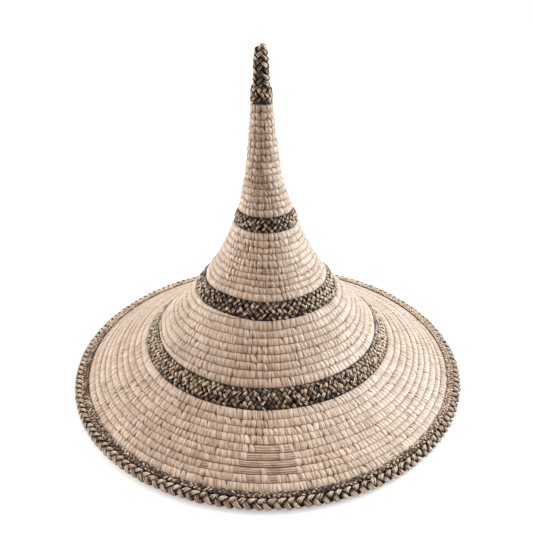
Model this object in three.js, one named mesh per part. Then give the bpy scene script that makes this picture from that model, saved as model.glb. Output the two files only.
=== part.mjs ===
// Conical hat of coiled straw, standing on its rim.
//
// A wrapped straw coil runs in courses from the spire to the brim, in four lengths.  Three flat dark
// braids are let in between them, a fourth is wound round the point, and a narrow dark braid and a
// thick light plait finish the rim.  Lashings of flat leaf on the inside hold each braid to the coil
// on either side of it.
//
// Millimetres, +Z up.  The origin is on the ground in the middle of the rim.

import * as THREE from 'three';

// ------------------------------------------------------------------ driving dimensions

// The wall's outer surface from the top of the spire to the edge of the brim: radius, height.
const OUTLINE = [
  [11.8, 301],
  [16.1, 259],
  [22, 221],
  [35.6, 177],
  [54.4, 138],
  [81, 101.5],
  [110, 69.5],
  [142.5, 39.5],
  [176, 23],
  [209, 8.9],
];
const COIL_THICKNESS = 5.5;
const GAP = 0.3;  // between pieces that touch, and between the turns of a coil

// The wall from the spire down: the courses of each coil and the width of each braid between them.
const SPIRE = { courses: 16, pitch: 6.8, facets: 16 };
const NECK_BAND = { width: 17.7, facets: 24 };
const UPPER_CROWN = { courses: 10, pitch: 6.74, facets: 24 };
const CROWN_BAND = { width: 21.5, facets: 24 };
const LOWER_CROWN = { courses: 8, pitch: 8.03, facets: 24 };
const SHOULDER_BAND = { width: 23.2, facets: 36 };
const BRIM = { courses: 10, pitch: 7.3, facets: 36 };

const SHOULDER_SEAM_GAP = 0.7;  // the 24-sided crown above the 36-sided band needs more room
const BRAID_PROUD = 1.5;        // how far a band stands out of the coil's surface
const BRAID_DEPTH = 4.4;        // from the coil's outer surface to a band's inner one

const RIM_RADIUS = 225;         // the hat's largest radius
const RIM_HALF_THICKNESS = 6.3;
const RIM_FACETS = 36;
const RIM_CORE_RADIUS = 2.7;

const HAT_HEIGHT = 356;
const TIP_FACETS = 12;
const TIP_CORE = { bottom: 292, taperStart: 316, radius: 5.2, topRadius: 3 };
const TIP_BRAID_TOP = 350;
const TIP_BRAID_TURNS = [11.9, 11.4, 10.9, 8.9, 8.3, 8.1, 7.5, 6.8];  // radius of each turn, from below
const TIP_KNOT_RADIUS = 3.8;

const LASHING_THICKNESS = 0.8;
const LASHING_HALF_WIDTH = 1.2;
const LASHING_CLEARANCE = 1.4;  // off the coil's inner face, whose facets bow inwards

// Distances down the wall at which each length of coil and each band begins.
const NECK_TOP = SPIRE.courses * SPIRE.pitch;
const UPPER_CROWN_TOP = NECK_TOP + NECK_BAND.width;
const CROWN_BAND_TOP = UPPER_CROWN_TOP + UPPER_CROWN.courses * UPPER_CROWN.pitch;
const LOWER_CROWN_TOP = CROWN_BAND_TOP + CROWN_BAND.width;
const SHOULDER_TOP = LOWER_CROWN_TOP + LOWER_CROWN.courses * LOWER_CROWN.pitch;
const BRIM_TOP = SHOULDER_TOP + SHOULDER_BAND.width;
const BRIM_END = BRIM_TOP + BRIM.courses * BRIM.pitch;

// ------------------------------------------------------------------ materials

const material = (color, roughness) => new THREE.MeshStandardMaterial({ color, roughness, metalness: 0 });
const STRAW = material(0xd9c1a3, 0.75);
const DARK_LEAF = material(0x4a3f35, 0.6);
const RIM_LEAF = material(0xb8977a, 0.65);
const PALE_LEAF = material(0xc9ab88, 0.7);
const BUNDLE = material(0xc2a67e, 0.85);

// ------------------------------------------------------------------ helpers

const outline = new THREE.SplineCurve(OUTLINE.map(([radius, height]) => new THREE.Vector2(radius, height)));
outline.arcLengthDivisions = 2000;
const OUTLINE_LENGTH = outline.getLength();

// Radius and height of a point of the wall: its distance down the outer surface, and its depth inside it.
function wallPoint(along, depth) {
  const fraction = along / OUTLINE_LENGTH;
  const surface = outline.getPointAt(fraction);
  const downhill = outline.getTangentAt(fraction);
  return new THREE.Vector2(surface.x + downhill.y * depth, surface.y - downhill.x * depth);
}

// A point at a radius, a height and a number of turns, which run clockwise seen from above.
function turned(radius, height, turns) {
  const angle = -2 * Math.PI * turns;
  return new THREE.Vector3(radius * Math.cos(angle), radius * Math.sin(angle), height);
}

// A straight bar with a closed section, one unit long, whose every vertex is then put where place says.
function bentBar(section, steps, place) {
  const shape = new THREE.Shape(section.map(([x, y]) => new THREE.Vector2(x, y)));
  const bar = new THREE.ExtrudeGeometry(shape, { depth: 1, steps, bevelEnabled: false });
  const position = bar.attributes.position;
  for (let i = 0; i < position.count; i += 1) {
    const point = place(position.getX(i), position.getY(i), position.getZ(i));
    position.setXYZ(i, point.x, point.y, point.z);
  }
  bar.computeVertexNormals();
  return bar;
}

// A ring round the hat's axis; profile is a closed outline of [radius, height] points.
function ring(profile, facets) {
  const points = profile.map(([radius, height]) => new THREE.Vector2(radius, height));
  const closed = [...points, points[0].clone()];
  return new THREE.LatheGeometry(closed, facets).rotateX(Math.PI / 2);
}

// A solid of revolution on the hat's axis; profile starts and ends on the axis.
function turnedSolid(profile) {
  const points = profile.map(([radius, height]) => new THREE.Vector2(radius, height));
  return new THREE.LatheGeometry(points, TIP_FACETS).rotateX(Math.PI / 2);
}

function piece(name, geometry, look) {
  const mesh = new THREE.Mesh(geometry, look);
  mesh.name = name;
  return mesh;
}

// ------------------------------------------------------------------ sub-parts

// One length of wrapped coil.  It starts and ends in a taper one turn long, so that both of its edges
// are level: the first turn grows down from the top edge and the last one thins out at the bottom edge.
const COIL_SECTION = [[-1, 0.25], [0, 0], [1, 0.25], [1, 1], [-1, 1]];  // up the course, depth
const TAPER_CUT = 0.14;  // of a turn, left off each thin end

function coilGeometry(top, { courses, pitch, facets }, startTurn) {
  const cutSteps = Math.ceil(TAPER_CUT * facets);
  const steps = (courses + 1) * facets - 2 * cutSteps;
  const place = (up, depth, progress) => {
    const turn = (cutSteps + progress * steps) / facets;
    const upperEdge = top + pitch * Math.max(turn - 1, 0) + GAP / 2;
    const lowerEdge = top + pitch * Math.min(turn, courses) - GAP / 2;
    const along = THREE.MathUtils.lerp(lowerEdge, upperEdge, (up + 1) / 2);
    const { x: radius, y: height } = wallPoint(along, depth * COIL_THICKNESS);
    return turned(radius, height, startTurn + turn);
  };
  return bentBar(COIL_SECTION, steps, place);
}

// A flat braid let into the wall, a little proud of the coil, with its edges tucked in.
function bandGeometry(top, { width, facets }, topGap) {
  const low = top + width - GAP / 2;
  const high = top + topGap - GAP / 2;
  const middle = (high + low) / 2;
  const tuck = 1.6;
  const corners = [
    [high, 0.4],
    [high + tuck, -0.8 * BRAID_PROUD],
    [middle, -BRAID_PROUD],
    [low - tuck, -0.8 * BRAID_PROUD],
    [low, 0.4],
    [low, BRAID_DEPTH],
    [middle, BRAID_DEPTH],
    [high, BRAID_DEPTH],
  ];
  return ring(corners.map(([along, depth]) => wallPoint(along, depth).toArray()).reverse(), facets);
}

// A flat leaf strip that zigzags round the inside between two circles of the wall, or of any two
// [radius, height] points.
function lashingGeometry(upper, lower, strands) {
  const section = [[-1, 0], [1, 0], [1, 1], [-1, 1]];
  const slope = new THREE.Vector2(lower[0] - upper[0], lower[1] - upper[1]).normalize();
  const steps = strands - 1;  // the two ends of the strip stay one strand apart
  const place = (up, depth, progress) => {
    const strand = Math.round(progress * steps);
    const [radius, height] = strand % 2 === 0 ? upper : lower;
    const down = -up * LASHING_HALF_WIDTH;
    const inwards = depth * LASHING_THICKNESS;
    return turned(
      radius + slope.x * down + slope.y * inwards,
      height + slope.y * down - slope.x * inwards,
      strand / strands,
    );
  };
  return bentBar(section, steps, place);
}

// The lashing behind a band: it catches the first course of coil above and below.
function bandLashing(top, { width, facets }) {
  const reach = 3.5;
  const depth = COIL_THICKNESS + LASHING_CLEARANCE;
  const upper = wallPoint(top - reach, depth).toArray();
  const lower = wallPoint(top + width + reach, depth).toArray();
  return lashingGeometry(upper, lower, facets);
}

const RIM_CENTRE = { radius: RIM_RADIUS - RIM_HALF_THICKNESS, height: RIM_HALF_THICKNESS };

function rimCircle(radius, degrees) {
  const angle = THREE.MathUtils.degToRad(degrees);
  return [RIM_CENTRE.radius + radius * Math.cos(angle), RIM_CENTRE.height + radius * Math.sin(angle)];
}

// The rim plait is a thick tube with a flat foot.  A slit on its inner side lets the lashing in.
function rimPlaitGeometry() {
  const footHalfWidth = 2.6;
  const outside = [-36, 0, 40, 80, 120, 160, 196];
  const bore = [196, 140, 70, 0, -70, -130];
  const slitLip = 216;
  const profile = [
    [RIM_CENTRE.radius - footHalfWidth, 0],
    [RIM_CENTRE.radius + footHalfWidth, 0],
    ...outside.map((degrees) => rimCircle(RIM_HALF_THICKNESS, degrees)),
    ...bore.map((degrees) => rimCircle(RIM_CORE_RADIUS + GAP, degrees)),
    rimCircle(RIM_HALF_THICKNESS, slitLip),
  ];
  return ring(profile, RIM_FACETS);
}

function rimCoreGeometry() {
  const profile = [0, 60, 120, 180, 240, 300].map((degrees) => rimCircle(RIM_CORE_RADIUS - GAP, degrees));
  return ring(profile, RIM_FACETS);
}

// The narrow braid lies in the step between the last course and the plait, and stands proud of both.
function rimBraidGeometry() {
  const edge = wallPoint(BRIM_END, 0);
  const inner = edge.x + GAP;
  const profile = [
    [inner, edge.y - 4.2],
    [inner + 2.7, edge.y - 1.6],
    [inner + 4.6, edge.y + 1.9],
    [inner + 3.4, edge.y + 3],
    [inner + 1.2, edge.y + 2.4],
    [inner, edge.y + 0.7],
  ];
  return ring(profile, RIM_FACETS);
}

// The lashing under the brim: it passes below the last courses and catches the plait's inner side.
function rimLashingGeometry() {
  const reach = 9;
  const footHeight = 2;
  const upper = wallPoint(BRIM_END - reach, COIL_THICKNESS + LASHING_CLEARANCE).toArray();
  const lower = [RIM_CENTRE.radius - RIM_HALF_THICKNESS - LASHING_CLEARANCE, footHeight];
  return lashingGeometry(upper, lower, RIM_FACETS);
}

// The straw bundle that the coil starts from; it fills the top of the spire's bore.
function tipCoreGeometry() {
  return turnedSolid([
    [0, TIP_CORE.bottom],
    [TIP_CORE.radius, TIP_CORE.bottom],
    [TIP_CORE.radius, TIP_CORE.taperStart],
    [TIP_CORE.topRadius, TIP_BRAID_TOP],
    [0, TIP_BRAID_TOP],
  ]);
}

// The braid round the point: each turn is a rounded bump, and the bore follows the core's taper.
function tipBraidGeometry() {
  const bottom = OUTLINE[0][1] + GAP;
  const pitch = (TIP_BRAID_TOP - bottom) / TIP_BRAID_TURNS.length;
  const groove = 1.1;
  const clear = 2 * GAP;
  const sleeve = TIP_BRAID_TURNS.flatMap((radius, turn) => {
    const height = bottom + turn * pitch;
    return [[radius - groove, height], [radius, height + 0.35 * pitch], [radius - 0.2, height + 0.7 * pitch]];
  });
  const topTurn = TIP_BRAID_TURNS.at(-1);
  const bore = [
    [TIP_CORE.topRadius + clear, TIP_BRAID_TOP],
    [TIP_CORE.radius + clear, TIP_CORE.taperStart],
    [TIP_CORE.radius + clear, bottom],
  ];
  return ring([...sleeve, [topTurn - groove, TIP_BRAID_TOP], ...bore], TIP_FACETS);
}

// The folded straw end on the very top.
function tipKnotGeometry() {
  const bottom = TIP_BRAID_TOP + GAP;
  const widest = bottom + 1.6;
  const shoulder = HAT_HEIGHT - 1;
  return turnedSolid([
    [0, bottom],
    [0.8 * TIP_KNOT_RADIUS, bottom],
    [TIP_KNOT_RADIUS, widest],
    [0.65 * TIP_KNOT_RADIUS, shoulder],
    [0, HAT_HEIGHT],
  ]);
}

// ------------------------------------------------------------------ the hat

const hat = new THREE.Group();

hat.add(
  piece('tip_knot', tipKnotGeometry(), PALE_LEAF),
  piece('tip_braid', tipBraidGeometry(), DARK_LEAF),
  piece('tip_core', tipCoreGeometry(), BUNDLE),

  piece('spire_coil', coilGeometry(0, SPIRE, 0), STRAW),
  piece('neck_braid', bandGeometry(NECK_TOP, NECK_BAND, GAP), DARK_LEAF),
  piece('neck_stitching', bandLashing(NECK_TOP, NECK_BAND), PALE_LEAF),

  piece('upper_crown_coil', coilGeometry(UPPER_CROWN_TOP, UPPER_CROWN, 0.25), STRAW),
  piece('crown_braid', bandGeometry(CROWN_BAND_TOP, CROWN_BAND, GAP), DARK_LEAF),
  piece('crown_stitching', bandLashing(CROWN_BAND_TOP, CROWN_BAND), PALE_LEAF),

  piece('lower_crown_coil', coilGeometry(LOWER_CROWN_TOP, LOWER_CROWN, 0.5), STRAW),
  piece('shoulder_braid', bandGeometry(SHOULDER_TOP, SHOULDER_BAND, SHOULDER_SEAM_GAP), DARK_LEAF),
  piece('shoulder_stitching', bandLashing(SHOULDER_TOP, SHOULDER_BAND), PALE_LEAF),

  piece('brim_coil', coilGeometry(BRIM_TOP, BRIM, 0.75), STRAW),
  piece('rim_braid', rimBraidGeometry(), DARK_LEAF),
  piece('rim_plait', rimPlaitGeometry(), RIM_LEAF),
  piece('rim_core', rimCoreGeometry(), BUNDLE),
  piece('rim_stitching', rimLashingGeometry(), PALE_LEAF),
);

export default hat;
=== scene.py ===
# Conical hat of coiled straw: the visual model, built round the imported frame.
#
# Shapes are worked out in millimetres, in the frame of the CAD model, and turned into metres when
# a mesh is made.  Every piece is a set of closed tubes: a wrapped coil, the strands of a braid, the
# straws of a bundle or behind a braid, a lashing, or loose fibres.

import math

import bpy
import numpy as np
from mathutils import Matrix, Vector


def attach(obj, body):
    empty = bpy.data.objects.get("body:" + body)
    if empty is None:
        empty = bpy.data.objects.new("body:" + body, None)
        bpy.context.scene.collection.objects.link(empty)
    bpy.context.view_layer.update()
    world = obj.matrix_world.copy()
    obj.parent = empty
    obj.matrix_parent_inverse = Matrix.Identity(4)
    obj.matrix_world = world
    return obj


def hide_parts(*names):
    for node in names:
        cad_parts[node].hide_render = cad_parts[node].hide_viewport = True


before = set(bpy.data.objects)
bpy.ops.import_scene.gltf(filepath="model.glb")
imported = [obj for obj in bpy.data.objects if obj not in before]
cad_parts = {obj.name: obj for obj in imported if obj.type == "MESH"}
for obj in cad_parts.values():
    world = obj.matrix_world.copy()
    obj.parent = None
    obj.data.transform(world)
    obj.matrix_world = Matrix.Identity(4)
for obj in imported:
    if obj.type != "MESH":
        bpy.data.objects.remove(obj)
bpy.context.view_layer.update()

MM = 0.001
TAU = 2 * math.pi

# --- driving dimensions

# The wall's outer surface from the top of the spire to the edge of the brim: radius, height.  The
# last point lies past the edge, for the lap under the rim.
OUTLINE = np.array([
    (11.8, 301), (16.1, 259), (22, 221), (35.6, 177), (54.4, 138),
    (81, 101.5), (110, 69.5), (142.5, 39.5), (176, 23), (209, 8.9), (213, 7.3),
], float)
COIL_THICKNESS = 5.5
HALF_GAP = 0.02       # half of what is left between two courses
BAND_LAP = 1.3        # how far the coil runs in under the edge of a band

# Each coil, from the top down: its courses, the height of a course, the turn at which it starts,
# how square its section is (2 is an ellipse), and how much taller the courses near its top are.
COILS = {
    "spire_coil": dict(courses=16, pitch=6.8, start=0.0, square=2.0, uneven=0),
    "upper_crown_coil": dict(courses=10, pitch=6.74, start=0.85, square=2.6, uneven=0.05),
    "lower_crown_coil": dict(courses=8, pitch=8.03, start=0.55, square=3.0, uneven=0.05),
    "brim_coil": dict(courses=10, pitch=7.38, start=0.75, square=4.0, uneven=0.16),
}
# Each dark band: its width, and how often its strands go through their whole pattern.
BANDS = {
    "neck_braid": dict(width=17.7, periods=6),
    "crown_braid": dict(width=21.5, periods=12),
    "shoulder_braid": dict(width=23.2, periods=25),
}
BAND_STRANDS = 6
STEP_DOWN = 0.7       # share of a turn that a course keeps level before it steps down to the next
THIN_END = 0.03       # of a turn, left off each thin end of a coil

# The rim: the middle of the thick plait and of the dark braid beside it (radius, height), and how
# often the strands of each go through their whole pattern.
RIM_CENTRE = (219.9, 4.9)
RIM_PLAIT_PERIODS = 54
RIM_BRAID_CENTRE = (213.3, 9.0)
RIM_BRAID_PERIODS = 62

# Heights: the foot of the braid on the point, the top of its collar, its own top, and the hat's.
TIP_BOTTOM, TIP_STEP, TIP_TOP, HAT_TOP = 301.3, 317.0, 350.0, 356.0


def station_of_each():
    """How far down the wall each coil and each band below it begins, and where the wall ends."""
    stations, along = {}, 0.0
    for coil, band in zip(COILS, [*BANDS, None]):
        stations[coil] = along
        along += COILS[coil]["courses"] * COILS[coil]["pitch"]
        if band:
            stations[band] = along
            along += BANDS[band]["width"]
    return stations, along


TOPS, WALL_END = station_of_each()


# --- the wall

def smooth_curve(points, steps=60):
    """The uniform Catmull-Rom curve through the points."""
    padded = np.vstack([points[:1], points, points[-1:]])
    t = np.linspace(0, 1, steps, endpoint=False)[:, None]
    spans = []
    for p0, p1, p2, p3 in zip(padded, padded[1:], padded[2:], padded[3:]):
        v0, v1 = (p2 - p0) / 2, (p3 - p1) / 2
        cubic, square = 2 * p1 - 2 * p2 + v0 + v1, 3 * p2 - 3 * p1 - 2 * v0 - v1
        spans.append(cubic * t**3 + square * t**2 + v0 * t + p1)
    return np.vstack([*spans, points[-1:]])


WALL = smooth_curve(OUTLINE)
STATIONS = np.concatenate([[0], np.cumsum(np.hypot(*np.diff(WALL, axis=0).T))])
DOWNHILL = np.gradient(WALL, STATIONS, axis=0)


def wall(along, depth):
    """Radius and height at a distance down the wall and a depth inside its outer surface."""
    radius, height = (np.interp(along, STATIONS, WALL[:, i]) for i in (0, 1))
    out, down = (np.interp(along, STATIONS, DOWNHILL[:, i]) for i in (0, 1))
    return radius + down * depth, height - out * depth


def turned(radius, height, turns):
    """Points at a radius, a height and a number of turns, clockwise from +X seen from above."""
    angle = -TAU * turns
    return np.stack([radius * np.cos(angle), radius * np.sin(angle), height + 0 * angle], axis=-1)


def smoothstep(low, high, x):
    """0 below low, 1 above high, and a smooth rise between them."""
    t = np.clip((x - low) / (high - low), 0, 1)
    return t * t * (3 - 2 * t)


def swayed(points):
    """Bends the finished hat a little, as hand-made ones are: slow ripples, and a leaning spire."""
    x, y, z = points.T
    angle, radius = np.arctan2(y, x), np.hypot(x, y)
    above_foot = smoothstep(2, 26, z)
    ripple = 0.5 * np.sin(3 * angle + 0.031 * z + 0.7) + 0.35 * np.sin(5 * angle - 0.05 * z + 2.1)
    ripple += 0.2 * np.sin(9 * angle + 0.11 * z)
    grow = 1 + ripple * above_foot * np.minimum(radius / 60, 1) / np.maximum(radius, 1)
    lift = (0.7 * np.sin(2 * angle + 1.0) + 0.5 * np.sin(5 * angle + 0.3)) * above_foot
    lift *= smoothstep(20, 90, radius)
    lean = 2.4 * smoothstep(185, 235, z) + 0.6 * smoothstep(235, 290, z)
    return np.stack([x * grow - lean, y * grow, z + lift], axis=-1)


def unit(vectors):
    return vectors / np.linalg.norm(vectors, axis=-1, keepdims=True)


# --- meshes of closed tubes

class Weave:
    """Collects closed tubes into one mesh, with what the materials need to know at each point.

    grain is (distance across the fibres, distance along them, a number of its own for each leaf);
    leaf is (tone, how much painted shade it gets in grooves, seams, pits and under other leaves,
    how bare of wrapping the bundle is)."""

    def __init__(self, seed):
        self.random = np.random.default_rng(seed)
        self.points, self.faces, self.grain, self.leaf = [], [], [], []
        self.count = 0

    def wander(self, turns, low, high, size):
        """A smooth random drift that closes on itself after each turn."""
        drift = 0
        for _ in range(5):
            drift += np.sin(TAU * (self.random.integers(low, high) * turns + self.random.random()))
        return size * drift / 2.2

    def tube(self, rings, grain, leaf, closed=False):
        """Adds one tube; rings has the shape (rings, points round each, 3)."""
        length, width = rings.shape[:2]
        first = np.arange(length if closed else length - 1)[:, None] * width
        around = np.arange(width)[None]
        after = (around + 1) % width
        onward = (first + width) % (length * width)
        quads = np.stack([first + around, first + after, onward + after, onward + around], -1)
        faces = [quads.reshape(-1, 4)]
        if not closed:
            faces += [around[:, ::-1], around + (length - 1) * width]
        points = rings.reshape(-1, 3)
        a, b, c, d = (points[faces[0][:, i]] for i in range(4))
        if np.einsum("ij,ij->", np.cross(c - a, d - b), (a + b + c + d) - 4 * points.mean(0)) < 0:
            faces = [f[:, ::-1] for f in faces]
        self.faces += [f + self.count for f in faces]
        self.points.append(points)
        self.grain.append(np.broadcast_to(grain, rings.shape).reshape(-1, 3))
        self.leaf.append(np.broadcast_to(leaf, rings.shape).reshape(-1, 3))
        self.count += len(points)

    def mesh(self, name):
        points = swayed(np.vstack(self.points)) * MM
        corners = np.concatenate([f.ravel() for f in self.faces])
        sizes = np.concatenate([np.full(len(f), f.shape[1]) for f in self.faces])
        mesh = bpy.data.meshes.new(name)
        mesh.vertices.add(len(points))
        mesh.vertices.foreach_set("co", points.astype(np.float32).ravel())
        mesh.loops.add(len(corners))
        mesh.loops.foreach_set("vertex_index", corners.astype(np.int32))
        mesh.polygons.add(len(sizes))
        starts = np.concatenate([[0], np.cumsum(sizes)[:-1]])
        mesh.polygons.foreach_set("loop_start", starts.astype(np.int32))
        mesh.update(calc_edges=True)
        mesh.validate()
        mesh.polygons.foreach_set("use_smooth", np.ones(len(sizes), bool))
        for title, rows in (("grain", self.grain), ("leaf", self.leaf)):
            layer = mesh.attributes.new(title, "FLOAT_VECTOR", "POINT")
            layer.data.foreach_set("vector", np.vstack(rows).astype(np.float32).ravel())
        return mesh


def add_piece(name, weave, look, *nodes):
    """Makes a piece: look is its material and its slot, which is not used, and nodes are what it
    replaces.
    """
    material, slot = look
    piece = bpy.data.objects.new(name, weave.mesh(name))
    bpy.context.scene.collection.objects.link(piece)
    piece.data.materials.append(material)
    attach(piece, "root")
    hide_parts(*nodes)


LEAF_POINTS = 6       # round the section of a leaf or straw


def oval(width, thickness, points=LEAF_POINTS):
    """The section of a straw or leaf: offsets to its side and outwards."""
    angle = TAU * np.arange(points) / points
    return np.stack([width / 2 * np.cos(angle), thickness / 2 * np.sin(angle)], -1)


def leaf_rings(centre, side, up, section):
    """The rings of a tube with the section, along a centre line with its directions."""
    return centre[:, None] + side[:, None] * section[..., :1] + up[:, None] * section[..., 1:]


def heading(centre, closed=False):
    """The way a line of points runs, at each of them."""
    if closed:
        return unit(np.roll(centre, -1, 0) - np.roll(centre, 1, 0))
    return unit(np.gradient(centre, axis=0))


def framed(centre, outward, closed=False):
    """A line of points, with its side and outward directions, square to the way it runs."""
    forward = heading(centre, closed)
    side = unit(np.cross(forward, outward))
    return centre, side, np.cross(side, forward)


def spliced(random, count, shortest, longest, tones, shares):
    """A tone for each step of a strand, which changes where one leaf ends and the next begins."""
    steps = []
    while len(steps) < count:
        tone = random.choice(tones, p=shares) + random.normal(0, 0.05)
        steps += [tone] * int(random.integers(shortest, longest))
    return np.clip(np.array(steps[:count]), 0, 1)


# --- wrapped coil

# Round a course, from its upper edge over the outside to the lower edge and back inside.
SECTION_ANGLES = np.radians([0, 22, 52, 90, 128, 158, 180, 222, 270, 318])
# Along a wrap: where its columns of points are, and how much each takes part in the seam, in the
# padding, in the tilt and in a torn corner.
WRAP_COLUMNS = np.array([0, 0.11, 0.5, 0.89])
WRAP_SEAM = np.array([1, 0.1, 0, 0.1])
WRAP_PAD = np.array([0, 0.5, 1, 0.5])
WRAP_TILT = np.array([0, -0.14, 0, 0.14])
WRAP_PIT = np.array([1, 0.6, 0, 0])
USUAL_WRAP, NARROWEST_WRAP, WIDEST_WRAP = 4.9, 3.0, 7.2
SEAM_DEPTH = 0.3      # how far a seam is pressed in
TORN_DEPTH = 0.9      # how much deeper a seam or a corner is where it is torn
BARE_DEPTH = 0.45     # how far the bundle lies below its wrapping
STRAW_RIDGE = 0.28    # how far the straws of a bare bundle stand in relief
STRAY_BARE = 0.006    # share of the wraps that are missing anywhere
RAGGED_LINES = 34     # lines of torn seams on each coil


def course_section(square):
    """Round a course: how far up it each point is, and how far outwards, -1 to 1."""
    circle = np.cos(SECTION_ANGLES), np.sin(SECTION_ANGLES)
    return [np.sign(part) * np.abs(part) ** (2 / square) for part in circle]


def wrap_seams(random, top, coil):
    """The turns at which one wrap ends and the next begins.

    A wrap is sewn through the one above it, so the seams run on from course to course, until the
    hat has widened enough for a wrap to be put in between."""
    end = coil["courses"] + 1 - THIN_END
    turn = STEP_DOWN + THIN_END
    seams, above = [turn], 0
    while turn < end:
        middle = top + coil["pitch"] * (min(max(turn, 0.5), coil["courses"] + 0.5) - 0.5)
        length = TAU * wall(middle, 0)[0]
        if turn < seams[0] + 1:
            step = random.uniform(0.65, 1.35) * USUAL_WRAP / length
        else:
            while seams[above] + 1 <= turn + NARROWEST_WRAP / length:
                above += 1
            step = seams[above] + 1 - turn + random.normal(0, 0.5) / length
            if step * length > WIDEST_WRAP + random.normal(0, 0.5):
                step *= random.uniform(0.42, 0.58)
        turn += step
        seams.append(turn)
    seams[-1] = end
    if seams[-1] - seams[-2] < 0.3 * NARROWEST_WRAP / length:
        del seams[-2]
    return np.array(seams)


def wrap_columns(seams):
    """The turn of each column of points, the wrap it stands on, and its number on that wrap."""
    columns, wraps = len(WRAP_COLUMNS), len(seams) - 1
    turns = (seams[:-1, None] + np.diff(seams)[:, None] * WRAP_COLUMNS).ravel()
    turns = np.append(turns, seams[-1])
    number = np.arange(len(turns))
    return turns, np.minimum(number // columns, wraps - 1), number % columns


def course_drift(along, turn, top, bottom):
    """How far the edges of a course stray up or down the wall; none next to a band."""
    angle = TAU * turn
    drift = 0.34 * np.sin(3 * angle + 0.21 * along) + 0.26 * np.sin(7 * angle - 0.16 * along + 1)
    drift += 0.2 * np.sin(13 * angle + 0.33 * along + 2.3)
    return drift * smoothstep(1, 9, np.minimum(along - top, bottom - along))


def course_edges(coil, top, bottom, turns):
    """How far down the wall the upper and the lower edge of the coil are at each of the turns."""
    course = np.floor(turns) + smoothstep(STEP_DOWN, 1, turns % 1)
    upper = top + coil["pitch"] * np.maximum(course - 1, 0) + HALF_GAP
    lower = top + coil["pitch"] * np.minimum(course, coil["courses"]) - HALF_GAP
    at, length = turns + coil["start"], bottom - top
    reach = coil["uneven"] * length / TAU
    upper = upper + reach * (1 - np.cos(TAU * (upper - top) / length)) / 2
    lower = lower + reach * (1 - np.cos(TAU * (lower - top) / length)) / 2
    lap_above, lap_below = BAND_LAP * (upper < top + 1), BAND_LAP * (lower > bottom - 1)
    upper = upper + course_drift(upper, at, top, bottom) - lap_above
    lower = lower + course_drift(lower, at, top, bottom) + lap_below
    return upper, lower


def worn_patch(middle, turn):
    """The share of wraps that are missing, round one place at the front of the brim."""
    angle = (-360 * turn + 90 + 180) % 360 - 180
    return 0.9 * np.exp(-((angle / 8.5) ** 4) - ((middle - 350) / 17) ** 4)


def ragged_lines(random, at, middle, top, bottom):
    """How torn each place is: along some radial lines, mostly at the front and left, the seams of
    several courses have split together."""
    torn = np.zeros(len(at))
    for _ in range(RAGGED_LINES):
        line = random.uniform(0.2, 0.5) if random.random() < 0.8 else random.random()
        centre, reach = random.uniform(top, bottom), random.uniform(6, 26)
        away = (at - line + 0.5) % 1 - 0.5
        width = 3.2 / (TAU * wall(centre, 0)[0])
        torn += np.exp(-((away / width) ** 2) - ((middle - centre) / reach) ** 4)
    return np.minimum(torn, 1)


def painted_light_and_shade(turn, along):
    """Painted shade and light on the straw: how much darker it is painted at the front of the spire
    and the left of the brim; below 0, painted lighter, at the right of the brim."""
    spire = 0.16 * np.exp(-(((turn - 0.25) / 0.12) ** 2)) * (1 - smoothstep(90, 130, along))
    brim = 0.16 * np.exp(-(((turn - 0.33) / 0.1) ** 2)) * smoothstep(230, 300, along)
    right_light = 0.13 * np.exp(-(((turn - 0.12) / 0.07) ** 2)) * smoothstep(230, 300, along)
    return spire + brim - right_light


def stands_out(turns):
    """How far a course lies outside or inside the wall; neighbours differ a little."""
    return 0.22 * np.sin(TAU * 1.37 * turns) + 0.16 * np.sin(TAU * 3.71 * turns + 1)


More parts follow.
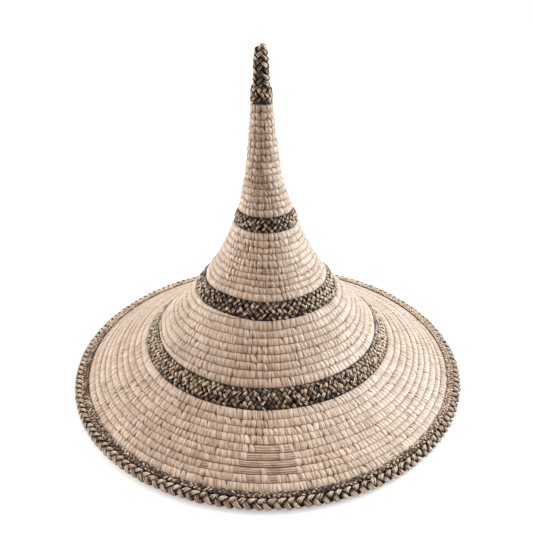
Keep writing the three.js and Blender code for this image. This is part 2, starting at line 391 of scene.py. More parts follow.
class Coil:
    """A length of wrapped coil: one tube down the spiral, with its points in columns that stand on
    the wraps of leaf round it."""

    def __init__(self, name, random, worn):
        self.random = random
        coil, top = COILS[name], TOPS[name]
        bottom = top + coil["courses"] * coil["pitch"]
        seams = wrap_seams(random, top, coil)
        self.wraps = len(seams) - 1
        self.turns, self.wrap, self.column = wrap_columns(seams)
        self.at, self.pitch = self.turns + coil["start"], coil["pitch"]
        self.across, self.outward = course_section(coil["square"])
        upper, lower = course_edges(coil, top, bottom, self.turns)
        self.half, self.middle = (lower - upper) / 2, (lower + upper) / 2

        starts = slice(0, self.wraps * len(WRAP_COLUMNS), len(WRAP_COLUMNS))
        self.place = self.at[starts], self.middle[starts]
        self.bare = self.missing_wraps(worn)
        self.torn = ragged_lines(random, *self.place, top, bottom)

    def on_points(self, values):
        """Spreads a value of each wrap over the columns of points on it."""
        return values[self.wrap][:, None]

    def missing_wraps(self, worn):
        """Which wraps are gone, so that the straws of the bundle show."""
        bare = np.zeros(self.wraps, bool)
        if worn:
            turn, along = self.place
            bare = self.random.random(self.wraps) < worn_patch(along, turn)
        return bare | (self.random.random(self.wraps) < STRAY_BARE)

    def swell(self):
        """How far each point stands out of an even coil: padded, tilted, pressed in by a seam."""
        random, wraps = self.random, self.wraps
        padding = random.uniform(0, 0.16, wraps) + 0.3 * (random.random(wraps) < 0.06)
        tilt = random.uniform(-0.2, 0.35, wraps)
        pressed = SEAM_DEPTH * random.uniform(0.35, 1.2, wraps)
        pressed = np.where(random.random(wraps) < 0.05, pressed * 2.0, pressed)
        pressed = pressed + TORN_DEPTH * self.torn * random.uniform(0.3, 1, wraps)
        wrap, column = self.wrap, self.column
        swell = padding[wrap] * WRAP_PAD[column] + tilt[wrap] * WRAP_TILT[column]
        swell = swell - pressed[wrap] * WRAP_SEAM[column]
        fullness = np.clip(self.half / (self.pitch / 2), 0, 1)
        swell = np.where(self.bare[wrap], -BARE_DEPTH, swell) * fullness
        ridges = STRAW_RIDGE * np.where(np.arange(len(self.across)) % 2 == 0, 1, -1)
        return swell[:, None] + np.where(self.on_points(self.bare), ridges, 0) * fullness[:, None]

    def torn_corners(self):
        """How far each point lies in the pit of a torn corner, 0 to 1."""
        random, wraps = self.random, self.wraps
        pits = random.random(wraps) < 0.14 + 0.8 * self.torn
        edge = random.choice([-0.8, 0.8], wraps)[:, None]
        corner = np.exp(-(((self.across + edge) / 0.3) ** 2))
        return np.where(pits[:, None], corner, 0)[self.wrap] * WRAP_PIT[self.column, None]

    def rings(self, growth):
        """The tube's points, for how far each is grown out of an even coil."""
        half_width = self.half[:, None] + 0.1 + np.clip(growth, -0.08, 0.05)
        grown = np.where(self.outward > 0, growth, np.minimum(growth, 0))
        half_depth = COIL_THICKNESS / 2 + grown
        along = self.middle[:, None] - self.across * half_width
        depth = COIL_THICKNESS / 2 - self.outward * half_depth - stands_out(self.turns)[:, None]
        radius, height = wall(along, depth)
        slant = self.on_points(self.random.normal(0.55, 0.45, self.wraps))
        slant = slant * self.across * np.where(self.outward > -0.1, 1, -1)
        return turned(radius, height, self.at[:, None] + slant / (TAU * radius))

    def grain(self):
        """The fibres run round the coil in a wrap, and along it where the bundle is bare."""
        across, outward = self.across * self.pitch / 2, self.outward * COIL_THICKNESS / 2
        around = np.cumsum(np.hypot(np.diff(across, prepend=across[-1]),
                                    np.diff(outward, prepend=outward[-1])))
        radius = wall(self.middle, 0)[0]
        lengthways = np.cumsum(np.diff(self.at, prepend=self.at[0])) * TAU * radius
        own = self.on_points(self.random.uniform(0, 40, self.wraps))
        lengthways, around, own = np.broadcast_arrays(lengthways[:, None], around, own)
        return np.where(self.bare[self.wrap][:, None, None],
                        np.stack([around, lengthways, 0 * own], -1),
                        np.stack([lengthways, around, own], -1))

    def leaf(self, pit):
        """The tone of each wrap, the painted shade in its seam, edges and pit, and where it is
        gone.
        """
        random, wraps = self.random, self.wraps
        tone = 0.5 + 0.045 * random.normal(0, 1, wraps) + 0.03 * np.sin(0.05 * np.arange(wraps))
        turn, along = self.place
        # Painted shade at the front of the spire and the left of the brim, painted light at the
        # right of the brim.
        tone -= painted_light_and_shade(turn % 1, along)
        tone = np.where(random.random(wraps) < 0.03, tone - 0.14, tone)
        # Painted shade: in the groove between courses, in the seams between wraps, in torn corners,
        # and on a bare bundle.
        groove = smoothstep(0.88, 1.0, np.abs(self.across))
        groove = groove * self.on_points(random.uniform(0.0, 0.4, wraps))
        seam = WRAP_SEAM[self.column][:, None] * self.on_points(random.uniform(0.5, 1.1, wraps))
        bare = self.on_points(self.bare)
        painted_shade = np.maximum(groove, np.where(bare, 0.25, seam + 1.3 * pit))
        tone = self.on_points(np.clip(tone, 0.02, 1))
        return np.stack(np.broadcast_arrays(tone, painted_shade, 1.0 * bare), -1)


def coil_weave(name, seed, worn=False):
    weave = Weave(seed)
    coil = Coil(name, weave.random, worn)
    swell, pit = coil.swell(), coil.torn_corners()
    weave.tube(coil.rings(swell - TORN_DEPTH * pit), coil.grain(), coil.leaf(pit))
    return weave


# --- frayed fibres

FRAY_ROOT, FRAY_THICKNESS = 0.35, 0.22     # how deep a fibre starts in the coil, its thickness


def fray_weave(name, seed, count):
    """Ends of leaf that stand off the coil, mostly at the front and left of the hat."""
    weave = Weave(seed)
    random, coil, top = weave.random, COILS[name], TOPS[name]
    for _ in range(count):
        turn = random.uniform(0.27, 0.5) if random.random() < 0.6 else random.random()
        course = random.integers(1, coil["courses"])
        along = top + coil["pitch"] * (course + random.choice([0.08, 0.5, 0.9]))
        length, lift = random.uniform(1.5, 5.5), random.uniform(0.5, 1.9)
        bearing, width = random.uniform(0, TAU), random.uniform(0.25, 0.7)
        step = np.linspace(0, 1, 5)
        down = along + length * step * math.sin(bearing)
        at = turn + length * step * math.cos(bearing) / (TAU * wall(along, 0)[0])
        rise = -FRAY_ROOT + (lift + FRAY_ROOT) * step**1.6
        centre = turned(*wall(down, -rise), at)
        outward = unit(turned(*wall(down, -rise - 1), at) - centre)
        section = oval(width, FRAY_THICKNESS, 4)[None] * (1 - 0.75 * step[:, None, None])
        rings = leaf_rings(*framed(centre, outward), section)
        tone = np.clip(random.normal(0.5, 0.25), 0, 1)
        grain = np.stack([0 * step, length * step, 0 * step + random.uniform(0, 40)], -1)[:, None]
        # 0.15: a little painted shade on each fibre.
        weave.tube(rings, grain, (tone, 0.15, 0))
    return weave


# --- braids

def strand_frame(place, x, y, s, closed):
    """Where a strand runs, with its side and outward directions."""
    centre = place(x, y, s)
    return framed(centre, unit(place(x, y + 1, s) - centre), closed)


PAINTED_TOP_LIGHT = 0.2       # painted highlight: how much paler a strand is painted where it lies on top


def painted_side_light(points):
    """Painted light: how much paler the leaf is made; least at the front, more at the right, most
    at the rim's back.
    """
    x, y, z = points.T
    radius = np.maximum(np.hypot(x, y), 0.1)
    back, right = y / radius, x / radius
    rim = 1 - smoothstep(12, 20, z)
    side_light = 0.22 * smoothstep(-1, -0.5, back) + 0.21 * np.clip(right, 0, 1)
    return side_light + 0.3 * rim * smoothstep(-0.4, 0.5, back)


def add_strand(weave, path, leaves, leaf_size, tones, under, closed=True, droop=0.16,
               spacing=0.86):
    """Adds one strand, as leaves side by side; path is what strand_frame gives.

    tones is what spliced needs, under says how much painted shade the strand gets, droop how much
    lower the leaves at its sides are, and spacing how far apart the leaves lie, in widths of one."""
    centre, side, up = path
    count, random = len(centre), weave.random
    turns = np.arange(count) / count
    slow, fast = max(2, count // 40), max(4, count // 9)
    step = np.linalg.norm(np.diff(centre, axis=0, prepend=centre[:1]), axis=1)
    length = np.cumsum(step)
    width, thickness = leaf_size
    for number in range(leaves):
        place = number - (leaves - 1) / 2
        crown = -droop * width * place**2 + random.uniform(-0.1, 0.1)
        off = place * width * spacing + weave.wander(turns, slow, fast, 0.07 * width * leaves)
        rise = crown + weave.wander(turns, slow, fast, 0.09 * width)
        swell = 1 + weave.wander(turns, slow, fast, 0.1)
        section = oval(width, thickness)[None] * swell[:, None, None]
        middle = centre + side * off[:, None] + up * rise[:, None]
        rings = leaf_rings(middle, side, up, section)
        # Painted highlight on top of crossings, painted shade under them, and painted light at the
        # sides and back of the hat.
        tone = spliced(random, count, *tones) + PAINTED_TOP_LIGHT * (0.5 - under) + painted_side_light(centre)
        around = np.arange(LEAF_POINTS) * (width + thickness) / 4
        own = random.uniform(0, 40)
        grain = np.stack(np.broadcast_arrays(around, length[:, None], own), -1)
        # Painted shade: the leaves at a strand's sides and the underside of each leaf are painted
        # darker.
        edges = 0.2 * abs(place) / max(leaves / 2, 1)
        below = 0.35 * (1 - section[..., 1] / thickness * 2)
        painted_shade = np.clip(np.reshape(under, (-1, 1)) + edges + below, 0, 1)
        leaf = np.stack(np.broadcast_arrays(tone[:, None], painted_shade, 0.0), -1)
        weave.tube(rings, grain, leaf, closed)


def painted_crossing_shade(height):
    """Painted shade: how dark a strand is painted, from 0 on top of a crossing to 1 at the bottom
    of one.
    """
    return 0.85 * (1 - height) ** 0.9


def flat_plait(weave, place, shape, leaves, leaf_size, tones, painted_side_shade=0.0, **lay):
    """A flat braid in a closed ring, each strand over one and under one.

    shape gives its strands, its periods round the ring, the length of one, how far a strand
    swings to each side, how far it rises and dips (below 0 for a braid of the other hand), and the
    number of steps in a period.  The next argument is painted shade on one side of the strands
    (painted light where it is below 0), and lay goes on to add_strand."""
    strands, periods, period, swing, lift, samples = shape
    q = np.arange(periods * samples) / samples
    turns, slow = q / periods, periods // 2 + 1
    for strand in range(strands):
        phase = TAU * (q + strand / strands)
        x = swing * (np.sin(phase) - 0.04 * np.sin(3 * phase)) / 1.04
        x = x + weave.wander(turns, slow, 3 * periods, 0.07 * swing)
        if strands % 2:
            height = np.sin((strands - 1) * phase)
        else:
            height = -np.cos(phase) * np.cos(strands * phase)
        height = math.copysign(1, lift) * np.tanh(2 * height) / math.tanh(2)
        y = abs(lift) * height + weave.wander(turns, slow, 2 * periods, 0.12 * abs(lift))
        s = q * period + weave.wander(turns, slow, 2 * periods, 0.02 * period)
        path = strand_frame(place, x, y, s, True)
        # Painted shade under crossings, and painted shade or, below 0, painted light on one side.
        under = painted_crossing_shade(height) + painted_side_shade * smoothstep(0, 0.8, -x / swing)
        add_strand(weave, path, leaves, leaf_size, tones, under, **lay)
    return weave


# The fewest and most steps that a leaf runs in a strand, the tones of leaves, and their shares.
DARK_TONES = (6, 26, (0.2, 0.58, 0.95), (0.34, 0.36, 0.3))
BACKING_TONES = (6, 30, (0.2, 0.6), (0.6, 0.4))
BACKING_DEPTH = 3.35     # of the middle of the straws behind a band, below the wall's surface
BACKING_SHADE = 0.25     # painted shade: how dark the backing straws are painted


def band_weave(name, seed):
    """A dark band, plaited flat from strands of two leaves."""
    band = BANDS[name]
    middle = TOPS[name] + band["width"] / 2
    strand_width = 0.155 * band["width"]
    swing = (band["width"] - strand_width) / 2 - 0.3
    ring = TAU * wall(middle, 0)[0]
    centre_depth, edge_droop = 0.7, 1.2

    def place(x, y, s):
        depth = centre_depth + edge_droop * (x / swing) ** 2 - y
        return turned(*wall(middle + x, depth), s / ring)

    shape = (BAND_STRANDS, band["periods"], ring / band["periods"], swing, 1.4, 44)
    return flat_plait(Weave(seed), place, shape, 2, (strand_width / 2.1, 1.4), DARK_TONES,
                      droop=0.2, spacing=1.02)


def backing_weave(name, seed):
    """Straws laid side by side behind a dark band, which close the gap it covers."""
    weave = Weave(seed)
    width = BANDS[name]["width"]
    middle = TOPS[name] + width / 2
    straws, steps = 7, 160
    straw_size = (width / straws * 1.6, 2.4)
    q = np.arange(steps) / steps
    for straw in range(straws):
        x = (straw - (straws - 1) / 2) * (width + 0.8) / (straws - 1)
        along = middle + x + weave.wander(q, 3, 14, 0.2)
        centre = turned(*wall(along, BACKING_DEPTH), q)
        inward = unit(centre - turned(*wall(along, BACKING_DEPTH - 1.35), q))
        path = centre, unit(np.cross(heading(centre, True), inward)), inward
        add_strand(weave, path, 1, straw_size, BACKING_TONES, BACKING_SHADE)
    return weave


def rim_plait_weave(seed):
    """The thick light plait over the edge: three strands of three leaves, round a bundle."""
    radius, height = RIM_CENTRE
    ring = TAU * radius
    facing, tube, swing = math.radians(60), 3.6, 5.8

    def place(x, y, s):
        angle, reach = facing + x / tube, tube + y
        return turned(radius + reach * np.cos(angle), height + reach * np.sin(angle), s / ring)

    shape = (3, RIM_PLAIT_PERIODS, ring / RIM_PLAIT_PERIODS, swing, -0.8, 26)
    tones = (18, 60, (0.25, 0.5, 0.75), (0.25, 0.45, 0.3))
    # The strands are painted lighter on the plait's outer side: painted light.
    return flat_plait(Weave(seed), place, shape, 3, (1.55, 1.7), tones, -0.35, droop=0.3,
                      spacing=0.92)


def rim_braid_weave(seed):
    """The dark braid that covers the step between the last course and the plait."""
    radius, height = RIM_BRAID_CENTRE
    ring = TAU * radius
    facing, swing = math.radians(94), 2.8

    def place(x, y, s):
        side = math.sin(facing) * x + math.cos(facing) * y
        rise = -math.cos(facing) * x + math.sin(facing) * y
        return turned(radius + side, height + rise, s / ring)

    shape = (5, RIM_BRAID_PERIODS, ring / RIM_BRAID_PERIODS, swing, 0.75, 24)
    tones = (4, 14, (0.16, 0.4, 0.64), (0.35, 0.35, 0.3))
    return flat_plait(Weave(seed), place, shape, 1, (1.8, 1.1), tones)


def rim_backing_weave(seed):
    """Straws side by side under the dark braid of the rim."""
    weave = Weave(seed)
    steps, height = 200, 7.4
    q = np.arange(steps) / steps
    down = np.broadcast_to([0, 0, -1], (steps, 3))
    for radius in (209.7, 211.8, 213.9, 216.0):
        path = turned(radius, height, q), turned(1, 0, q), down
        add_strand(weave, path, 1, (2.3, 1.4), BACKING_TONES, BACKING_SHADE)
    return weave


# --- the tip

def tip_collar(weave):
    """The flat braid at the foot of the tip, wound once round."""
    middle, slope = (TIP_BOTTOM + TIP_STEP) / 2 + 0.6, 0.6

    def place(x, y, s):
        height = middle - x - slope * np.cos(TAU * s)
        radius = np.interp(height, [TIP_BOTTOM, TIP_STEP + 2], [10.3, 8.6])
        return turned(radius + y, height, s)

    flat_plait(weave, place, (4, 3, 1 / 3, 6.2, 1.3, 40), 2, (1.6, 1.6), DARK_TONES)


def tip_backing_weave(seed):
    """Straws side by side under the braids of the tip."""
    weave = Weave(seed)
    heights = np.linspace(TIP_BOTTOM + 0.4, TIP_TOP, 30)
    steps = [TIP_BOTTOM, TIP_STEP, TIP_STEP + 2, TIP_TOP]
    radius = np.interp(heights, steps, [8.0, 7.0, 5.4, 3.4])
    straws = 9
    straw_size = (TAU * 7.2 / straws * 1.1, 1.5)
    for straw in range(straws):
        turns = straw / straws + weave.wander((heights - TIP_BOTTOM) / 60, 1, 5, 0.01)
        centre = turned(radius, heights, turns)
        outward = unit(centre * [1, 1, 0])
        path = centre, unit(np.cross(heading(centre), outward)), outward
        # Twice the painted shade, deeper under the braids of the tip.
        add_strand(weave, path, 1, straw_size, BACKING_TONES, 2 * BACKING_SHADE, False)
    return weave


def tip_plait(weave):
    """The round braid that covers the point: four strands wind each way."""
    lead, samples, each_way = 23.0, 56, 4
    bottom, top = TIP_STEP - 3, TIP_TOP + 2
    s = np.linspace(0, top - bottom, int(samples * (top - bottom) / lead))
    base = np.interp(bottom + s, [TIP_STEP, TIP_TOP - 8, top - 2, top], [7.2, 5.9, 4.6, 1.4])
    beat = TAU * each_way * s / lead
    for sense in (1, -1):
        height = np.tanh(1.6 * sense * np.cos(beat))
        steep = s + sense * 0.9 * np.sin(beat)
        for strand in range(each_way):
            turns = sense * (s / lead + strand / each_way) + 1 / 6
            drift = weave.wander(s / s[-1], 2, 9, 0.02)

            def place(x, y, along):
                return turned(x + y, bottom + along, turns + drift)

            path = strand_frame(place, base, 1.35 * height, steep, False)
            add_strand(weave, path, 2, (1.65, 1.6), DARK_TONES, painted_crossing_shade(height), False)


def tip_braid_weave(seed):
    """The dark leaf on the point: a flat collar, and a round braid above it."""
    weave = Weave(seed)
    tip_collar(weave)
    tip_plait(weave)
    return weave


def tip_knot_weave(seed):
    """Straw ends folded over the very top, leaning to one side."""
    weave = Weave(seed)
    random, loops, t = weave.random, 7, np.linspace(0, 1, 14)
    tones = (8, 14, (0.4, 0.8), (0.5, 0.5))
    for loop in range(loops):
        bearing = TAU * loop / loops + random.normal(0, 0.2)
        across = random.uniform(2.6, 3.3) * np.cos(math.pi * t)
        top = HAT_TOP - TIP_TOP - 1.4 - (0.25 * loop) % 1
        rise = top * np.sin(math.pi * t) ** 0.8
        swing = 0.8 * np.sin(TAU * t) + random.normal(0, 0.4)
        x = across * math.cos(bearing) - swing * math.sin(bearing) + 1.2 + 0.12 * rise
        y = across * math.sin(bearing) + swing * math.cos(bearing)
        centre = np.stack([x, y, TIP_TOP + 0.2 + rise], -1)
        path = framed(centre, unit(centre - [0.9, 0, TIP_TOP - 1.5]))
        # 0.2: painted shade on the folded straws.
        add_strand(weave, path, 1, (2.1, 1.5), tones, 0.2, False)
    return weave


# --- bundles and lashings

def rim_core_weave(seed):
    """The bundle inside the rim plait: straws side by side round one in the middle."""
    weave = Weave(seed)
    # shade: painted shade on the bundle's straws, which lie inside the plait.
    steps, straws, radius, shade = 300, 7, 2.5, 0.8
    tones = (20, 70, (0.35, 0.6, 0.8), (0.3, 0.4, 0.3))
    q = np.arange(steps) / steps
    centre, side = turned(*RIM_CENTRE, q), turned(1, 0, q)
    up = np.broadcast_to([0, 0, 1], centre.shape)
    width = 0.74 * radius
    for straw in range(straws):
        angle = TAU * straw / (straws - 1)
        reach = 0.0 if straw == straws - 1 else radius * 0.66
        right = reach * math.cos(angle) + weave.wander(q, 3, 20, 0.05 * radius)
        rise = reach * math.sin(angle) + weave.wander(q, 3, 20, 0.05 * radius)
        path = centre + side * right[:, None] + up * rise[:, None], side, up
        add_strand(weave, path, 1, (width, width), tones, shade)
    return weave


def tip_core_weave(seed):
    """The straws that the coil starts from, gathered towards the top."""
    weave = Weave(seed)
    low, taper, high = 292.3, TIP_STEP, TIP_TOP - 0.4
    t = np.linspace(low, high, 26)
    reach = np.interp(t, [low, taper, high], [3.7, 3.7, 1.7])
    width = np.interp(t, [low, taper, high], [2.5, 2.5, 1.25])
    section = oval(1, 1)[None] * width[:, None, None]
    flat = np.concatenate([section, 0 * section[..., :1]], -1)
    around, across = 7, np.arange(LEAF_POINTS) * 1.3
    for out, turn in [(0, 0)] + [(1, k / around) for k in range(around)]:
        centre = turned(out * reach, t, -turn)
        tone = np.clip(weave.random.normal(0.5, 0.15), 0, 1)
        grain = np.stack(np.broadcast_arrays(across, t[:, None], 5 * turn), -1)
        # 0.3: painted shade on the bundle's straws.
        weave.tube(centre[:, None] + flat, grain, (tone, 0.3, 0))
    return weave


LASH_SIZE = (2.3, 0.7)                 # width and thickness of the leaf of a lashing
LASH_DEPTH = COIL_THICKNESS + 0.55     # of a lashing on the inside, below the wall's surface


def lashing_weave(seed, upper, lower, spacing):
    """A leaf that zigzags between two circles, given as (radius, height)."""
    weave = Weave(seed)
    ring = TAU * (upper[0] + lower[0]) / 2
    strands, samples = 2 * round(ring / spacing / 2), 8
    q = np.arange(strands * samples) / (strands * samples)
    wave = np.arcsin(0.97 * np.cos(TAU * q * strands / 2)) / math.asin(0.97)
    share = (1 - wave) / 2
    radius = upper[0] + (lower[0] - upper[0]) * share
    height = upper[1] + (lower[1] - upper[1]) * share
    sag = 0.35 * np.sin(math.pi * share)
    drift = weave.wander(q, strands // 2, strands, 0.0006)
    centre = turned(radius + sag, height - sag, q + drift)
    out, down = unit(np.subtract(lower, upper))
    inward = turned(down, -out, q)
    side = unit(np.cross(heading(centre, True), inward))
    tones = (30, 120, (0.4, 0.65), (0.5, 0.5))
    # 0.1: a little painted shade on the lashing.
    add_strand(weave, (centre, side, inward), 1, LASH_SIZE, tones, 0.1)
    return weave


def band_lashing_weave(name, seed):
    """The lashing behind a band, which catches the first course above and below it."""
    reach = 3.5
    upper = wall(TOPS[name] - reach, LASH_DEPTH)
    lower = wall(TOPS[name] + BANDS[name]["width"] + reach, LASH_DEPTH)
    return lashing_weave(seed, upper, lower, 8.5)


def rim_lashing_weave(seed):
    """The lashing under the brim, from the last course but one to the inner side of the plait."""
    return lashing_weave(seed, wall(WALL_END - 9, LASH_DEPTH), (RIM_CENTRE[0] - 7.4, 2.2), 10)


# --- materials

def linear(red, green, blue):
    """A colour for a shader, from how it looks on a screen, 0 to 255."""
    def channel(value):
        value /= 255
        return value / 12.92 if value <= 0.04045 else ((value + 0.055) / 1.055) ** 2.4
    return (channel(red), channel(green), channel(blue), 1)


class Nodes:
    """A node tree under construction: each method after fill adds one node."""

    def __init__(self, tree):
        self.nodes, self.links = tree.nodes, tree.links

    def fill(self, node, values):
        """Sets or links the inputs of a node, which are named or numbered."""
        for name, value in values.items():
            if isinstance(value, bpy.types.NodeSocket):
                self.links.new(value, node.inputs[name])
            else:
                node.inputs[name].default_value = value
        return node

    def add(self, kind, *values, **settings):
        """Adds a node, with its settings and its first inputs."""
        node = self.nodes.new("ShaderNode" + kind)
        for name, setting in settings.items():
            setattr(node, name, setting)
        return self.fill(node, dict(enumerate(values)))

    def attribute(self, name):
        return self.add("Attribute", attribute_name=name).outputs["Vector"]

    def position(self):
        return self.add("TexCoord").outputs["Object"]

    def camera_ray(self):
        return self.add("LightPath").outputs["Is Camera Ray"]

    def parts(self, vector):
        return self.add("SeparateXYZ", vector).outputs

    def scaled(self, vector, scale):
        return self.add("VectorMath", vector, scale, operation="MULTIPLY").outputs[0]

    def math(self, operation, first, second=0.0, third=0.0):
        return self.add("Math", first, second, third, operation=operation).outputs[0]

    def range(self, value, low, high, new_low, new_high):
        return self.add("MapRange", value, low, high, new_low, new_high).outputs[0]

    def noise(self, vector, scale=1.0, detail=3.0, rough=0.6):
        inputs = {"Scale": scale, "Detail": detail, "Roughness": rough}
        return self.fill(self.add("TexNoise", vector), inputs).outputs["Fac"]

    def ramp(self, value, *stops):
        node = self.add("ValToRGB", value)
        elements = node.color_ramp.elements
        while len(elements) < len(stops):
            elements.new(1)
        for element, (place, color) in zip(elements, stops):
            element.position, element.color = place, color
        return node.outputs[0]

    def mix(self, factor, first, second):
        node = self.add("Mix", factor, data_type="RGBA")
        return self.fill(node, {6: first, 7: second}).outputs[2]

    def bump(self, height, strength, distance):
        inputs = {"Strength": strength, "Distance": distance, "Height": height}
        return self.fill(self.add("Bump"), inputs).outputs[0]


class Shader(Nodes):
    """A material under construction."""

    def __init__(self, name):
        self.material = bpy.data.materials.new(name)
        self.material.use_nodes = True
        super().__init__(self.material.node_tree)
        self.surface = self.nodes["Principled BSDF"]

    def finish(self, color, roughness, normal, specular, **others):
        """Fills the surface's inputs; the others are named with _ for a space."""
        self.fill(self.surface, {"Base Color": color, "Roughness": roughness, "Normal": normal,
                                 "Specular IOR Level": specular})
        self.fill(self.surface, {name.replace("_", " "): others[name] for name in others})
        return self.material


BARE_STRAW = 2.3      # millimetres, a straw of the bundle where its wrapping is gone


def leaf_material(name, colors, shade_and_speck_color, gloss, specular, grain_depth, creases=0.0,
                  sheen=0.0, pit_shade_color=(22, 15, 10)):
    """Dried leaf or straw: fine fibres along each leaf, blotches, dark specks, and painted shade in
    the grooves, under crossings and between bare straws.

    colors run from the darkest leaf to the palest, gloss is the least and greatest roughness, and
    creases says how much painted shade the folds along a leaf get.  A torn corner, and the deepest
    seam, are painted with the pit colour, as painted shade."""
    shader = Shader(name)
    grain = shader.attribute("grain")
    tone, painted_shade, bare = shader.parts(shader.attribute("leaf"))
    fibres = shader.noise(shader.scaled(grain, (2.6, 0.1, 7.0)), 1.0, 4.0, 0.65)
    streaks = shader.noise(shader.scaled(grain, (1.0, 0.07, 3.0)), 1.0, 2.0)
    blotches = shader.noise(shader.position(), 38.0, 3.0)
    specks = shader.noise(shader.position(), 420.0, 2.0)

    shade = shader.math("MULTIPLY_ADD", fibres, 0.5, -0.25)
    for part, much, offset in ((streaks, 0.8, -0.4), (blotches, 0.5, -0.25), (bare, -0.03, 0)):
        shade = shader.math("ADD", shade, shader.math("MULTIPLY_ADD", part, much, offset))
    shade = shader.math("ADD", shade, tone)
    color = shader.ramp(shade, *[(place, linear(*color)) for place, color in colors])
    # Painted shade from the leaf attribute, with real dark specks added.
    shade_and_specks = shader.math("POWER", shader.math("MINIMUM", painted_shade, 1.0), 1.4)
    shade_and_specks = shader.math("ADD", shade_and_specks, shader.range(specks, 0.66, 0.8, 0.0, 0.5))
    # Painted shade along the folds, which are also bumped in.
    folds = shader.noise(shader.scaled(grain, (1.5, 0.05, 5.0)), 1.0, 1.0)
    fold = shader.range(folds, 0.34, 0.45, 1.0, 0.0)
    shade_and_specks = shader.math("MULTIPLY_ADD", fold, creases, shade_and_specks)
    across = shader.parts(grain)[0]
    # Painted shade in the lines between the straws of a bare bundle.
    straws = shader.math("SINE", shader.math("MULTIPLY", across, TAU / BARE_STRAW / 2))
    between = shader.range(shader.math("ABSOLUTE", straws), 0.0, 0.7, 0.9, 0.0)
    shade_and_specks = shader.math("MULTIPLY_ADD", between, bare, shade_and_specks)
    shade_and_specks = shader.math("MINIMUM", shade_and_specks, 0.97)
    color = shader.mix(shade_and_specks, color, linear(*shade_and_speck_color))
    # Painted shade, darkest, in torn corners and the deepest seams.
    color = shader.mix(shader.range(painted_shade, 1.0, 1.7, 0.0, 0.85), color, linear(*pit_shade_color))
    roughness = shader.range(fibres, 0.3, 0.7, gloss[0], gloss[1])
    height = shader.math("ADD", fibres, shader.math("MULTIPLY", streaks, 0.6))
    height = shader.math("MULTIPLY_ADD", fold, -1.5 * creases, height)
    return shader.finish(color, roughness, shader.bump(height, 0.9, grain_depth), specular,
                         Sheen_Weight=sheen, Sheen_Roughness=0.4,
                         Sheen_Tint=(1, 0.92, 0.84, 1))


def straw_material():
    """The leaf wrapped round the coil."""
    colors = [(0.0, (130, 98, 74)), (0.3, (185, 152, 122)), (0.55, (213, 181, 153)),
              (1.0, (232, 207, 183))]
    return leaf_material("coil_straw", colors, (100, 62, 38), (0.34, 0.58), 0.55, 0.0004, 0.45,
                         0.3, (44, 29, 20))


def dark_leaf_material():
    """The leaf of the bands, the dark braid at the rim and the braid on the point."""
    colors = [(0.0, (26, 15, 8)), (0.35, (79, 55, 36)), (0.65, (148, 113, 83)),
              (1.0, (230, 197, 163))]
    return leaf_material("dark_leaf", colors, (7, 4, 2), (0.26, 0.46), 0.36, 0.0003, 0.0, 0.14)


def rim_leaf_material():
    """The leaf of the thick plait at the rim, and of the folded end on the very top."""
    colors = [(0.0, (84, 61, 44)), (0.35, (174, 141, 112)), (0.7, (219, 187, 157)),
              (1.0, (233, 204, 176))]
    return leaf_material("rim_leaf", colors, (18, 11, 7), (0.34, 0.55), 0.22, 0.0004, 0.35, 0.06)


def pale_leaf_material():
    """The leaf of the lashings, and the loose fibres."""
    colors = [(0.0, (120, 92, 66)), (0.4, (176, 146, 114)), (0.75, (206, 180, 150)),
              (1.0, (232, 212, 188))]
    return leaf_material("pale_leaf", colors, (70, 50, 34), (0.4, 0.65), 0.4, 0.0003)


def bundle_material():
    """The unwrapped straw inside the rim and the point."""
    colors = [(0.0, (128, 100, 66)), (0.45, (186, 156, 112)), (1.0, (226, 204, 164))]
    return leaf_material("straw_bundle", colors, (72, 50, 30), (0.5, 0.75), 0.3, 0.0003)


def backing_material():
    """Straw that lies behind the dark braids, painted dark as painted shade."""
    colors = [(0.0, (38, 28, 19)), (0.5, (84, 65, 47)), (1.0, (140, 112, 84))]
    return leaf_material("shaded_straw", colors, (9, 6, 4), (0.7, 0.9), 0.05, 0.0003)


def floor_material():
    """White paper, which glows for the camera so that it burns out away from the hat."""
    shader = Shader("studio_floor")
    cloudy = shader.noise(shader.position(), 3.0, 2.0)
    color = shader.ramp(cloudy, (0.0, (0.56, 0.53, 0.5, 1)), (1.0, (0.6, 0.57, 0.54, 1)))
    away = shader.add("VectorMath", shader.position(), operation="LENGTH").outputs["Value"]
    burn = shader.range(away, 0.26, 0.45, 0.42, 1.0)
    glow = shader.math("MULTIPLY", burn, shader.camera_ray())
    return shader.finish(color, 0.8, shader.bump(cloudy, 0.02, 0.001), 0.1,
                         Emission_Color=(1, 1, 1, 1), Emission_Strength=glow)


# --- studio

CAMERA_PLACE = (0, -0.541, 0.397)      # metres
CAMERA_TILT, CAMERA_ROLL = 63.09, -0.6  # degrees, the tilt measured up from straight down
CAMERA_LENS, CAMERA_SENSOR = 36.47, 36  # millimetres


def add_camera():
    data = bpy.data.cameras.new("camera")
    data.sensor_width, data.lens = CAMERA_SENSOR, CAMERA_LENS
    camera = bpy.data.objects.new("camera", data)
    bpy.context.scene.collection.objects.link(camera)
    tilt = Matrix.Rotation(math.radians(CAMERA_TILT), 4, "X")
    roll = Matrix.Rotation(math.radians(CAMERA_ROLL), 4, "Z")
    camera.matrix_world = Matrix.Translation(CAMERA_PLACE) @ tilt @ roll
    bpy.context.scene.camera = camera


def add_light(name, place, size, power, color=(1, 1, 1)):
    """A round soft light that faces the middle of the hat; metres and watts."""
    data = bpy.data.lights.new(name, "AREA")
    data.shape, data.size, data.energy, data.color = "DISK", size, power, color
    light = bpy.data.objects.new(name, data)
    bpy.context.scene.collection.objects.link(light)
    light.location = place
    aim = Vector((0, 0, 0.08)) - Vector(place)
    light.rotation_euler = aim.to_track_quat("-Z", "Y").to_euler()


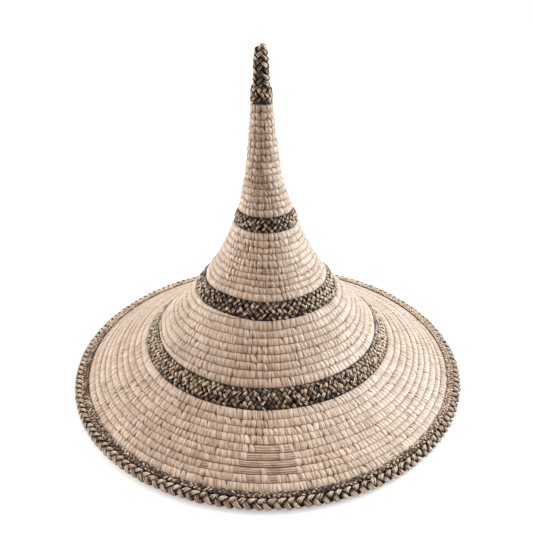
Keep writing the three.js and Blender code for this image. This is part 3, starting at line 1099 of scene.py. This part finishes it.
def studio_world():
    """White to the camera; its light is dimmer and warmer on the camera's side of the hat."""
    world = bpy.data.worlds.new("studio")
    world.use_nodes = True
    tree = Nodes(world.node_tree)
    direction = tree.add("TexCoord").outputs["Generated"]
    beyond = tree.range(tree.parts(direction)["Y"], -0.9, 0.3, 0, 1)
    white = tree.math("MAXIMUM", beyond, tree.camera_ray())
    light = tree.mix(white, (0.29, 0.19, 0.132, 1), (1, 1, 1, 1))
    tree.fill(tree.nodes["Background"], {"Color": light})
    return world


def add_studio():
    add_light("right_window", (1.15, 0.12, 0.5), 1.3, 36, color=(0.65, 0.83, 1.0))
    add_light("left_window", (-1.15, 0.25, 0.38), 1.3, 25, color=(0.76, 0.89, 1.0))
    add_light("top_window", (0, 0.2, 1.6), 1.2, 2.5)
    bpy.context.scene.world = studio_world()
    bpy.context.scene.view_settings.view_transform = "Standard"
    bpy.ops.mesh.primitive_plane_add(size=12)
    floor = bpy.context.object
    floor.name = "floor"
    floor.data.materials.append(floor_material())


# --- the hat

def add_hat():
    straw, dark = (straw_material(), "straw_coil"), (dark_leaf_material(), "dark_leaf")
    rim, pale = (rim_leaf_material(), "rim_leaf"), (pale_leaf_material(), "pale_leaf")
    core, backing = (bundle_material(), "straw_bundle"), (backing_material(), "dark_leaf")
    for seed, name in enumerate(COILS):
        weave = coil_weave(name, 11 + seed, worn=name == "brim_coil")
        add_piece(name.replace("coil", "wrapped_coil"), weave, straw, name)
    for seed, name in enumerate(BANDS):
        label = name.replace("_braid", "")
        add_piece(label + "_plaited_band", band_weave(name, 21 + seed), dark, name)
        add_piece(label + "_backing", backing_weave(name, 61 + seed), backing, name)
        weave = band_lashing_weave(name, 31 + seed)
        add_piece(label + "_lashing", weave, pale, label + "_stitching")
    add_piece("rim_lashing", rim_lashing_weave(41), pale, "rim_stitching")
    add_piece("rim_dark_braid", rim_braid_weave(42), dark, "rim_braid")
    add_piece("rim_backing", rim_backing_weave(64), backing, "rim_braid")
    add_piece("rim_thick_plait", rim_plait_weave(43), rim, "rim_plait")
    add_piece("rim_bundle", rim_core_weave(44), core, "rim_core")
    add_piece("tip_plaited_sleeve", tip_braid_weave(45), dark, "tip_braid")
    add_piece("tip_backing", tip_backing_weave(65), backing, "tip_braid")
    add_piece("tip_bundle", tip_core_weave(46), core, "tip_core")
    add_piece("tip_folded_end", tip_knot_weave(47), rim, "tip_knot")
    add_piece("brim_frays", fray_weave("brim_coil", 51, 420), pale)
    add_piece("crown_frays", fray_weave("lower_crown_coil", 52, 60), pale)


add_camera()
add_studio()
add_hat()
